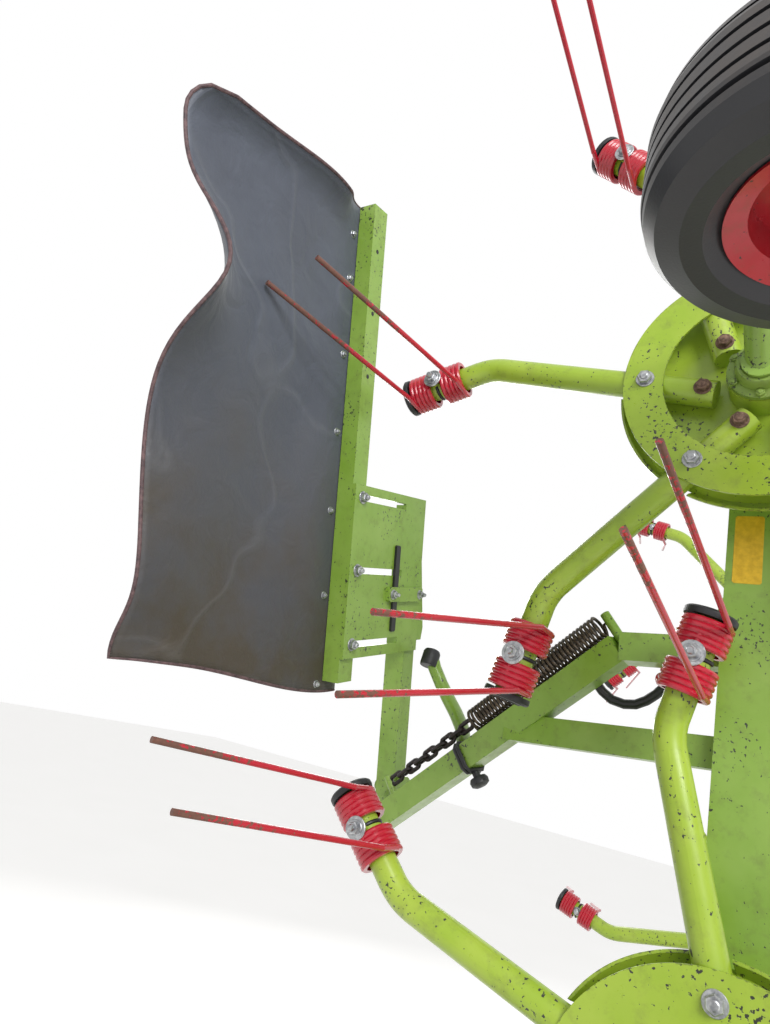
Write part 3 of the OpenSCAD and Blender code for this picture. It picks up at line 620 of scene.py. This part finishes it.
def dress_rotor(rotor, side, place):
    """The small fittings of a rotor, which all turn with it."""
    body = rotor + "_rotor"
    caps, zinc, rusty, pads = [], [], [], []
    for arm in arm_frames(side, place):
        end = arm_end(arm)
        caps.append((END_CAP, end @ shift(ARM_END, 0, 0) @ turn(90, "Y")))
        pads.append((TINE_PAD, end))
        # Through the tine's bridge and the arm
        under = end @ shift(TINE_PLACE, 0, TINE_BOLT_FACE) @ DOWN
        zinc.append((TINE_WASHER, under))
        zinc += bolt(TINE_BOLT, under @ shift(0, 0, TINE_WASHER_HEIGHT), shank=0.007)
        zinc += bolt(TINE_BOLT, end @ shift(TINE_PLACE, 0, ARM_RADIUS - 0.001), shank=0.002)
        # Through the ring, the arm and the dish, first at the rim and then near the hub
        zinc += bolt(RIM_BOLT, arm @ shift(RING_BOLT, 0, RIM_BOLT_FACE) @ DOWN, shank=0.003)
        zinc += bolt(RIM_BOLT, arm @ shift(RING_BOLT, 0, DISH_TOP), shank=0.006)
        inner = arm @ shift(RING_BOLT, 0, 0) @ turn(ARM_LEAD, "Z") @ shift(-HUB_BOLT_INSET, 0, 0)
        rusty += bolt(HUB_BOLT, inner @ shift(0, 0, HUB_BOLT_FACE) @ DOWN, shank=0.002)
        rusty += bolt(HUB_BOLT, inner @ shift(0, 0, DISH_TOP), shank=0.006)
    piece(rotor + "_arm_caps", caps, CAP_PLASTIC, body)
    piece(rotor + "_arm_bolts", zinc, ZINC_PLATE, body)
    piece(rotor + "_hub_bolts", rusty, RUSTY_STEEL, body)
    piece(rotor + "_tine_pads", pads, CAP_PLASTIC, body)
    hub = rotor_frame(side, place)
    cover = [(BEARING_COVER, hub)]
    for k in range(6):
        under = hub @ turn(60 * k, "Z") @ shift(BEARING_BOLT_CIRCLE, 0, BEARING_BOLT_FACE) @ DOWN
        cover += bolt(BEARING_BOLT, under, shank=0.002)
    piece(rotor + "_bearing_cover", cover, CAST_ENAMEL, body)


for rotor, side, place in ROTORS:
    dress_rotor(rotor, side, place)


# Wheels: wheel bolts, valve, hub cap

HUB_CAP = turned([(0, -0.090), (0.014, -0.089), (0.022, -0.084), (0.024, -0.076), (0.024, -0.070),
                  (0, -0.070)], 24)
RIM_FACE = -0.014
VALVE = tube([(0.080, 0, RIM_FACE), (0.080, 0, -0.030), (0.076, 0, -0.048)], 0.004, 10)
WHEEL_BOLT = 0.012
WHEEL_BOLT_CIRCLE = 0.058


def dress_wheel(rotor, side, place):
    wheel = wheel_frame(side, place)
    body = rotor + "_wheel"
    bolts = []
    for k in range(5):
        on_rim = wheel @ turn(72 * k + 18, "Z") @ shift(WHEEL_BOLT_CIRCLE, 0, RIM_FACE) @ DOWN
        bolts += bolt(WHEEL_BOLT, on_rim, shank=0.006)
    piece(rotor + "_wheel_bolts", bolts, ZINC_PLATE, body)
    piece(rotor + "_valve", [(VALVE, wheel)], CAP_PLASTIC, body)
    piece(rotor + "_hub_cap", [(HUB_CAP, wheel)], CAP_PLASTIC, body)


for rotor, side, place in ROTORS:
    dress_wheel(rotor, side, place)


# Beams: bolted flanges and gearbox covers

FLANGE_BOLT = 0.010
FLANGE_BOLT_PITCH = 0.0545
FLANGE_BOLTS = [(FLANGE_BOLT_PITCH * y, FLANGE_BOLT_PITCH * z)
                for y in (-1, 0, 1) for z in (-1, 0, 1) if y or z]
COVER_FACE = 0.009
GEARBOX_COVER = turned([(0, 0), (0.070, 0), (0.070, 0.006), (0.067, COVER_FACE), (0.030, COVER_FACE),
                        (0.026, 0.014), (0, 0.014)], 36)
COVER_SCREW = 0.008
COVER_SCREW_CIRCLE = 0.056


def dress_gearbox(rotor, side, place):
    hub = rotor_frame(side, place)
    body = rotor_carrier(rotor.split("_")[0], place)
    bolts = []
    # The beam ends at the outer gearbox, which has no flange beyond it
    for way in (-1,) if place == 3 else (-1, 1):
        joint = hub @ shift(way * (GEARBOX_HALF + FLANGE_WALL), 0, BEAM_Z - RING_Z)
        for y, z in FLANGE_BOLTS:
            bolts += bolt(FLANGE_BOLT, joint @ shift(0, y, z) @ turn(90 * way, "Y"))
    piece(rotor + "_flange_bolts", bolts, ZINC_PLATE, body)
    piece(rotor + "_gearbox_cover", [(GEARBOX_COVER, hub @ shift(0, 0, GEARBOX_TOP))], CAST_ENAMEL, body)
    screws = []
    for k in range(6):
        on_cover = hub @ turn(60 * k + 30, "Z") @ shift(COVER_SCREW_CIRCLE, 0, GEARBOX_TOP + COVER_FACE)
        screws += bolt(COVER_SCREW, on_cover, shank=0.001)
    piece(rotor + "_cover_screws", screws, ZINC_PLATE, body)


for rotor, side, place in ROTORS:
    dress_gearbox(rotor, side, place)


# Curtain: rubber-coated canvas clamped to the channel and held out by its own stiffness

ALONG_STEPS = 64
DROP_STEPS = 40
BEND_STEPS = 24
SHEET_PLANE = CHANNEL_BACK - 0.0045
CANVAS_THICKNESS = 0.005
CUT_EDGE_RADIUS = 0.0034

# Folds that the canvas has taken. Columns: turn in degrees, middle and spread as shares of the
# length, drop at which the fold starts, and how far it runs
FOLDS = (
    (60, 0.68, 0.12, 0.33, 0.20),
    (-48, -0.02, 0.10, 0.40, 0.10),
)
RIPPLE = 7
RIPPLES_DOWN = 9
RIPPLES_ALONG = 5.2
SLACK = 0.013

# The lower edge is cut askew: it passes the channel's end, and rises towards its free corner
ASKEW_LENGTH = 0.30
ASKEW_RISE = 0.10
LOWER_SPARE = 0.030

# The top of the canvas leans over like an awning, and its free corner is cut round
LEAN_START = SHEET_LENGTH - 0.085
LEAN_RADIUS = 0.070
LEAN_SHARE = 0.8
CORNER_RADIUS = 0.080


def swell(value, middle, width):
    """A soft hump of height 1."""
    return math.exp(-((value - middle) / width) ** 2)


def ease(value):
    """A smooth step from 0 to 1."""
    t = min(max(value, 0.0), 1.0)
    return t * t * (3 - 2 * t)


def canvas_slope(share, here):
    """How far the canvas has turned out of its plane, that far down from the channel."""
    slope = 0
    for degrees, middle, spread, start, run in FOLDS:
        slope += math.radians(degrees) * swell(share, middle, spread) * ease((here - start) / run)
    wave = math.sin(RIPPLES_DOWN * here / SHEET_DROP + RIPPLES_ALONG * share)
    return slope + math.radians(RIPPLE) * wave * ease((here - 0.05) / 0.1)


def curtain_point(along, drop):
    """A point of the curtain: along runs up its channel and drop away from it, both in metres."""
    share = along / SHEET_LENGTH
    out, away = 0.0, 0.0
    for k in range(BEND_STEPS):
        slope = canvas_slope(share, (k + 0.5) / BEND_STEPS * drop)
        away += math.cos(slope) * drop / BEND_STEPS
        out += math.sin(slope) * drop / BEND_STEPS
    low = max(1 - along / ASKEW_LENGTH, 0.0)
    along += low * (ASKEW_RISE * ease(drop / SHEET_DROP) - LOWER_SPARE)
    over = max(along - LEAN_START, 0.0) * ease((drop - 0.03) / 0.12)
    angle = over / LEAN_RADIUS
    up = along - over + LEAN_RADIUS * math.sin(angle)
    out += LEAN_RADIUS * (1 - math.cos(angle)) * LEAN_SHARE
    loose = ease((drop - 0.04) / 0.15)
    out += SLACK * loose * noise.noise(Vector((along * 4.2, drop * 5.0, 1.7)))
    return Vector((SHEET_START + up, SHEET_PLANE + out, CHANNEL_HIGH - away))


def canvas_reach(along):
    """How far the canvas drops at a place along its channel."""
    over = along - (SHEET_LENGTH - CORNER_RADIUS)
    if over <= 0:
        return SHEET_DROP
    return SHEET_DROP - (CORNER_RADIUS - math.sqrt(max(CORNER_RADIUS ** 2 - over ** 2, 0)))


def curtain_surface():
    """The canvas as points and faces, and the points of its three free edges in turn."""
    points = []
    for i in range(ALONG_STEPS + 1):
        along = SHEET_LENGTH * i / ALONG_STEPS
        for j in range(DROP_STEPS + 1):
            points.append(curtain_point(along, canvas_reach(along) * j / DROP_STEPS))
    row = DROP_STEPS + 1
    faces = [(i * row + j, i * row + j + 1, (i + 1) * row + j + 1, (i + 1) * row + j)
             for i in range(ALONG_STEPS) for j in range(DROP_STEPS)]
    lower = list(range(DROP_STEPS))
    outer = [i * row + DROP_STEPS for i in range(ALONG_STEPS + 1)]
    upper = [ALONG_STEPS * row + j for j in range(DROP_STEPS - 1, -1, -1)]
    return points, faces, [points[k] for k in lower + outer + upper]


sheet_points, sheet_faces, sheet_edge = curtain_surface()
curtain = piece("curtain_canvas", [((sheet_points, sheet_faces), CURTAIN_FRAME)], CURTAIN_CLOTH,
                "curtain")
thickness = curtain.modifiers.new("thickness", "SOLIDIFY")
thickness.thickness = CANVAS_THICKNESS
thickness.offset = 0
hem = piece("curtain_cut_edge", [(tube(sheet_edge, CUT_EDGE_RADIUS, 8), CURTAIN_FRAME)], CUT_EDGE,
            "curtain")
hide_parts("curtain_sheet")


# Curtain fittings: bolts of the canvas, the channel and the plate, clamp bar, bracket, rub strip

CLAMP_BOLT = 0.008
CLAMP_START = CHANNEL_START + 0.07
CLAMP_PITCH = 0.18
CANVAS_BOLT = 0.007
CANVAS_BOLT_DROP = 0.068
# The top bolt stands apart from the even row below it
CANVAS_BOLT_PLACES = [0.97] + [0.869 - 0.171 * k for k in range(6)]
HOLE = turned([(0, 0), (0.0048, 0), (0.0048, 0.0004), (0, 0.0004)], 20)
HOLE_START = 0.946
HOLE_PITCH = 0.1415
HOLE_LINE = -0.268
SLOT_BOLT = 0.012
SLOT_START = 0.365
SLOT_PITCH = 0.1575
SLOT_LINE = -0.262
POST_BOLT = 0.010
POST_LINE = 0.472

# The channel's clamp bolts go by turns one in the middle and two near its edges
clamps = []
for k in range(6):
    at = CLAMP_START + k * CLAMP_PITCH
    for height in (CHANNEL_LOW + 0.013, CHANNEL_HIGH - 0.013) if k % 2 else (CHANNEL_LOW + 0.025,):
        behind = CURTAIN_FRAME @ shift(at, SHEET_PLANE - 0.003, height) @ turn(90, "X")
        clamps += bolt(CLAMP_BOLT, behind)
piece("curtain_clamp_bolts", clamps, ZINC_PLATE, "curtain")

sheet_bolts = []
for along in CANVAS_BOLT_PLACES:
    surface = curtain_point(along, CANVAS_BOLT_DROP) + Vector((0, 0.002, 0))
    sheet_bolts += bolt(CANVAS_BOLT, CURTAIN_FRAME @ Matrix.Translation(surface) @ FORWARD, shank=0.003)
piece("curtain_canvas_bolts", sheet_bolts, ZINC_PLATE, "curtain")

# Drain holes in the channel's web: thin black discs laid on the web, painted shade where the holes look dark
holes = [(HOLE, CURTAIN_FRAME @ shift(HOLE_START + HOLE_PITCH * k, POST_HALF, HOLE_LINE) @ FORWARD)
         for k in range(3)]
piece("curtain_channel_hole_shade", holes, HOSE_RUBBER_AND_HOLE_SHADE, "curtain")

# Bolts in the plate's slots, and those of the clamp that holds the plate to its post
plate_bolts = []
for k in range(3):
    in_slot = CURTAIN_FRAME @ shift(SLOT_START + SLOT_PITCH * k, PLATE_FRONT, SLOT_LINE) @ FORWARD
    plate_bolts += bolt(SLOT_BOLT, in_slot, shank=0.006)
for height in (-0.122, 0.002):
    on_clamp = CURTAIN_FRAME @ shift(POST_LINE, PLATE_FRONT + 0.010, height) @ FORWARD
    plate_bolts += bolt(POST_BOLT, on_clamp, shank=0.008)
piece("curtain_plate_bolts", plate_bolts, ZINC_PLATE, "curtain")

clamp_bar = slab(box_outline(0.034, 0.155, 0.004), -0.001, 0.010)
rear_bracket = slab([(0.355, -0.022), (0.600, -0.022), (0.585, -0.048), (0.560, -0.055), (0.385, -0.085),
                     (0.355, -0.078)], -0.003, 0.003)
piece("curtain_clamp_bar", [(clamp_bar, CURTAIN_FRAME @ shift(POST_LINE, PLATE_FRONT, -0.060) @ FORWARD),
                            (rear_bracket, CURTAIN_FRAME @ shift(0, 0.010, 0) @ FORWARD)],
      GREEN_ENAMEL, "curtain")
rub_strip = slab(box_outline(0.200, 0.018, 0.003), -0.001, 0.006)
piece("curtain_rub_strip", [(rub_strip, CURTAIN_FRAME @ shift(0.486, PLATE_FRONT, -0.104) @ FORWARD)],
      CAP_PLASTIC, "curtain")


# Carrier on the right wing: its places are those of the wing's working position

WING = folded(1)
CARRIER_FOOT = Vector((1.871, -0.745, 1.002))
CARRIER_HEAD = Vector((2.294, -0.210, 0.793))
CARRIER_ALONG = (CARRIER_HEAD - CARRIER_FOOT).normalized()
CARRIER_ASIDE = Vector((-CARRIER_ALONG.y, CARRIER_ALONG.x, 0)).normalized()
STRAP_PLACE = 0.300
SPRING_PLACE = 0.345
SPRING_GAP = 0.054


def along_carrier(start):
    """A frame at a point beside the carrier's long tube, its z along that tube."""
    ways = (CARRIER_ASIDE, CARRIER_ALONG.cross(CARRIER_ASIDE), CARRIER_ALONG)
    rows = [list(row) + [at] for row, at in zip(zip(*ways), start)]
    return WING @ Matrix(rows + [[0, 0, 0, 1]])


# Return spring: each end is a hook that runs in to the axis and round its pin

SPRING_LOW = CARRIER_FOOT + SPRING_PLACE * CARRIER_ALONG - SPRING_GAP * CARRIER_ASIDE
SPRING_LENGTH = 0.368
SPRING_RADIUS = 0.0220
SPRING_WIRE = 0.0031
SPRING_TURNS = 38
TURN_STEPS = 16
HOOK_LENGTH = 0.010

spring_path = [(0, 0, 0.004), (SPRING_RADIUS * 0.6, 0, 0.007)]
for k in range(SPRING_TURNS * TURN_STEPS + 1):
    angle = 2 * math.pi * k / TURN_STEPS
    height = HOOK_LENGTH + (SPRING_LENGTH - 2 * HOOK_LENGTH) * k / (SPRING_TURNS * TURN_STEPS)
    spring_path.append((SPRING_RADIUS * math.cos(angle), SPRING_RADIUS * math.sin(angle), height))
spring_path += [(SPRING_RADIUS * 0.6, 0, SPRING_LENGTH - 0.007), (0, 0, SPRING_LENGTH - 0.004),
                (0, 0, SPRING_LENGTH + 0.0004)]
spring = piece("return_spring", [(tube(spring_path, SPRING_WIRE, 8), along_carrier(SPRING_LOW))],
               SPRING_STEEL, "right_wing")
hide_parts("curtain_spring")


# Chain below the spring: links with round ends, each turned a quarter from the next

CHAIN_LENGTH = 0.262
LINK_COUNT = 9
LINK_WIRE = 0.0046
LINK_ROUND = 0.0084
LINK_PITCH = CHAIN_LENGTH / LINK_COUNT
LINK_HALF = LINK_PITCH / 2 + LINK_WIRE * 0.9 - LINK_ROUND

link_loop = []
for k in range(24):
    angle = math.radians(15 * k)
    straight = LINK_HALF if k <= 12 else -LINK_HALF
    link_loop.append((LINK_ROUND * math.cos(angle), 0, straight + LINK_ROUND * math.sin(angle)))
LINK = tube(link_loop, LINK_WIRE, 8, True)
links = []
for k in range(LINK_COUNT):
    middle = SPRING_LOW - (k + 0.5) * LINK_PITCH * CARRIER_ALONG
    links.append((LINK, along_carrier(middle) @ turn(90 * (k % 2), "Z")))
chain = piece("spring_chain", links, GREASED_STEEL, "right_wing")
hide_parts("curtain_chain")


# A curved stay with a black cap, which stops the curtain's post

STAY_RADIUS = 0.016
STAY_END = (2.262, -0.700, 1.010)
stay_path = [STAY_END, (2.232, -0.688, 1.018), (2.200, -0.668, 1.026), (2.168, -0.640, 1.022),
             (2.138, -0.606, 1.004), (2.108, -0.572, 0.976), (2.080, -0.548, 0.945), (2.062, -0.530, 0.930)]
piece("curtain_stay", [(tube(stay_path, STAY_RADIUS, 16), WING)], GREEN_ENAMEL, "right_wing")
stay_cap = turned([(0, -0.030), (0.0200, -0.030), (0.0212, -0.026), (0.0212, 0.004), (0.018, 0.010),
                   (0.011, 0.013), (0, 0.014)], 24)
piece("curtain_stay_cap", [(stay_cap, WING @ shift(*STAY_END) @ turn(78, "Y"))], CAP_PLASTIC, "right_wing")


# A strap twice round the carrier's tube, with a round knob

STRAP_WIRE = 0.0045
strap_frame = along_carrier(CARRIER_FOOT + STRAP_PLACE * CARRIER_ALONG)
strap = tube([(x, y, 0) for x, y in box_outline(0.058, 0.058, 0.008)], STRAP_WIRE, 8, True)
knob = turned([(0, 0), (0.008, 0), (0.008, 0.014), (0.017, 0.016), (0.020, 0.022), (0.019, 0.030),
               (0.012, 0.034), (0, 0.035)], 24)
piece("carrier_strap", [(strap, strap_frame), (strap, strap_frame @ shift(0, 0, 0.008)),
                        (knob, strap_frame @ shift(0.028, 0, 0.004) @ turn(90, "Y"))],
      CAP_PLASTIC, "right_wing")


# A hose that loops behind the beam beside the carrier's head, with a red dust cap

HOSE_RADIUS = 0.009
hose_path = [(2.262, -0.262, 0.838), (2.250, -0.267, 0.846), (2.236, -0.264, 0.854), (2.222, -0.252, 0.861),
             (2.210, -0.234, 0.865), (2.206, -0.212, 0.868), (2.209, -0.192, 0.869), (2.219, -0.174, 0.869),
             (2.233, -0.158, 0.868), (2.250, -0.143, 0.866), (2.266, -0.124, 0.862), (2.278, -0.102, 0.857),
             (2.286, -0.078, 0.853), (2.291, -0.054, 0.849), (2.294, -0.030, 0.847)]
piece("carrier_hose", [(tube(hose_path, HOSE_RADIUS, 12), WING)], HOSE_RUBBER_AND_HOLE_SHADE, "right_wing")
dust_cap = turned([(0, 0), (0.012, 0), (0.013, 0.004), (0.013, 0.024), (0.010, 0.030), (0, 0.031)], 20)
piece("hose_dust_cap", [(dust_cap, WING @ shift(2.262, -0.150, 0.866))], RED_PLASTIC, "right_wing")


# A bare yellow plate on the beam's outer face

plate_face = WING @ shift(2.478, -0.014, BEAM_Z - BEAM_HALF) @ DOWN
yellow_plate = slab(box_outline(0.120, 0.044, 0.003), -0.0004, 0.0006, 0.0002)
piece("beam_yellow_plate", [(yellow_plate, plate_face)], YELLOW_FILM, "right_wing")


# Pins: those of the lift cylinders' rod eyes, and the heads of the wings' hinge pins

ROD_PIN = turned([(0, -0.040), (0.0118, -0.040), (0.0125, -0.039), (0.0125, 0.037), (0.019, 0.037),
                  (0.019, 0.042), (0.017, 0.044), (0, 0.044)], 24)
ROD_PIN_REACH = 0.380
ROD_PIN_ASIDE = 0.050
ROD_PIN_RISE = 0.130
HINGE_PIN_HEAD = turned([(0, 0), (0.026, 0), (0.027, 0.002), (0.027, 0.007), (0.025, 0.009), (0, 0.009)], 28)
HINGE_PIN_HALF = 0.072

for side_name, side in SIDES:
    rod_eye = (folded(side) @ shift(HINGE_X + ROD_PIN_REACH, side * ROD_PIN_ASIDE, HINGE_Z + ROD_PIN_RISE)
               @ turn(90, "X"))
    piece(side_name + "_rod_pin", [(ROD_PIN, rod_eye)], ZINC_PLATE, side_name + "_wing")
    hinge = standing(side) @ shift(HINGE_X, 0, HINGE_Z)
    heads = [(HINGE_PIN_HEAD, hinge @ shift(0, way * HINGE_PIN_HALF, 0) @ turn(-90 * way, "X"))
             for way in (-1, 1)]
    piece(side_name + "_hinge_pin_heads", heads, ZINC_PLATE, "frame")


# Stage and light

FLOOR_SIZE = 60
FLOOR_LIFT = 0.34
STUDIO_LEVEL = 0.62
# Columns: name, place, the point it faces, side in metres, power in watts
LAMPS = (
    ("key_lamp", (5.0, 3.5, 5.5), (0.8, -0.4, 2.2), 3.0, 420),
    ("fill_lamp", (-4.5, -4.0, 4.5), (0, 0, 2.0), 3.5, 200),
)


def seen_plainly(tree):
    """1 for what the camera sees, directly, mirrored or through something clear, else 0."""
    rays = add(tree, "LightPath")
    share = rays.outputs["Is Camera Ray"]
    for kind in ("Is Glossy Ray", "Is Transmission Ray"):
        share = add(tree, "Math", {0: share, 1: rays.outputs[kind]}, operation="MAXIMUM").outputs[0]
    return share


def pale_floor():
    """Smooth pale concrete, which only has to catch the shadow."""
    material, tree, shader, place = new_finish("pale_floor")
    cloud = add(tree, "TexNoise", {"Vector": place, "Scale": grain(900), "Detail": 3})
    skin = add(tree, "Mix", {SHARE: cloud.outputs["Fac"], FIRST: tone("e6e5e2"), SECOND: tone("eeedeb")},
               data_type="RGBA")
    tree.links.new(skin.outputs[MIXED], shader.inputs["Base Color"])
    shader.inputs["Roughness"].default_value = 0.85
    # To the eye it is paler, so that it meets the white background; its shadows stay
    lift = add(tree, "Math", {0: seen_plainly(tree), 1: FLOOR_LIFT}, operation="MULTIPLY")
    tree.links.new(lift.outputs[0], shader.inputs["Emission Strength"])
    shader.inputs["Emission Color"].default_value = (1, 1, 1, 1)
    return material


def lay_floor():
    half = FLOOR_SIZE / 2
    mesh = bpy.data.meshes.new("floor")
    mesh.from_pydata([(-half, -half, 0), (half, -half, 0), (half, half, 0), (-half, half, 0)], [],
                     [(0, 1, 2, 3)])
    mesh.materials.append(pale_floor())
    item = bpy.data.objects.new("floor", mesh)
    bpy.context.collection.objects.link(item)


def white_studio():
    """A white surround that lights the machine a little less brightly than it looks."""
    world = bpy.data.worlds.new("studio")
    bpy.context.scene.world = world
    world.use_nodes = True
    sky = world.node_tree
    background = sky.nodes["Background"]
    strength = add(sky, "MapRange", {"Value": seen_plainly(sky), "To Min": STUDIO_LEVEL, "To Max": 1.0})
    background.inputs["Color"].default_value = (1, 1, 1, 1)
    sky.links.new(strength.outputs[0], background.inputs["Strength"])


def soft_lamp(name, place, target, size, power):
    """A square soft box that faces a point."""
    lamp = bpy.data.lights.new(name, "AREA")
    lamp.size = size
    lamp.energy = power
    item = bpy.data.objects.new(name, lamp)
    item.location = place
    item.rotation_euler = (Vector(target) - Vector(place)).to_track_quat("-Z", "Y").to_euler()
    bpy.context.collection.objects.link(item)


lay_floor()
white_studio()
for lamp_row in LAMPS:
    soft_lamp(*lamp_row)
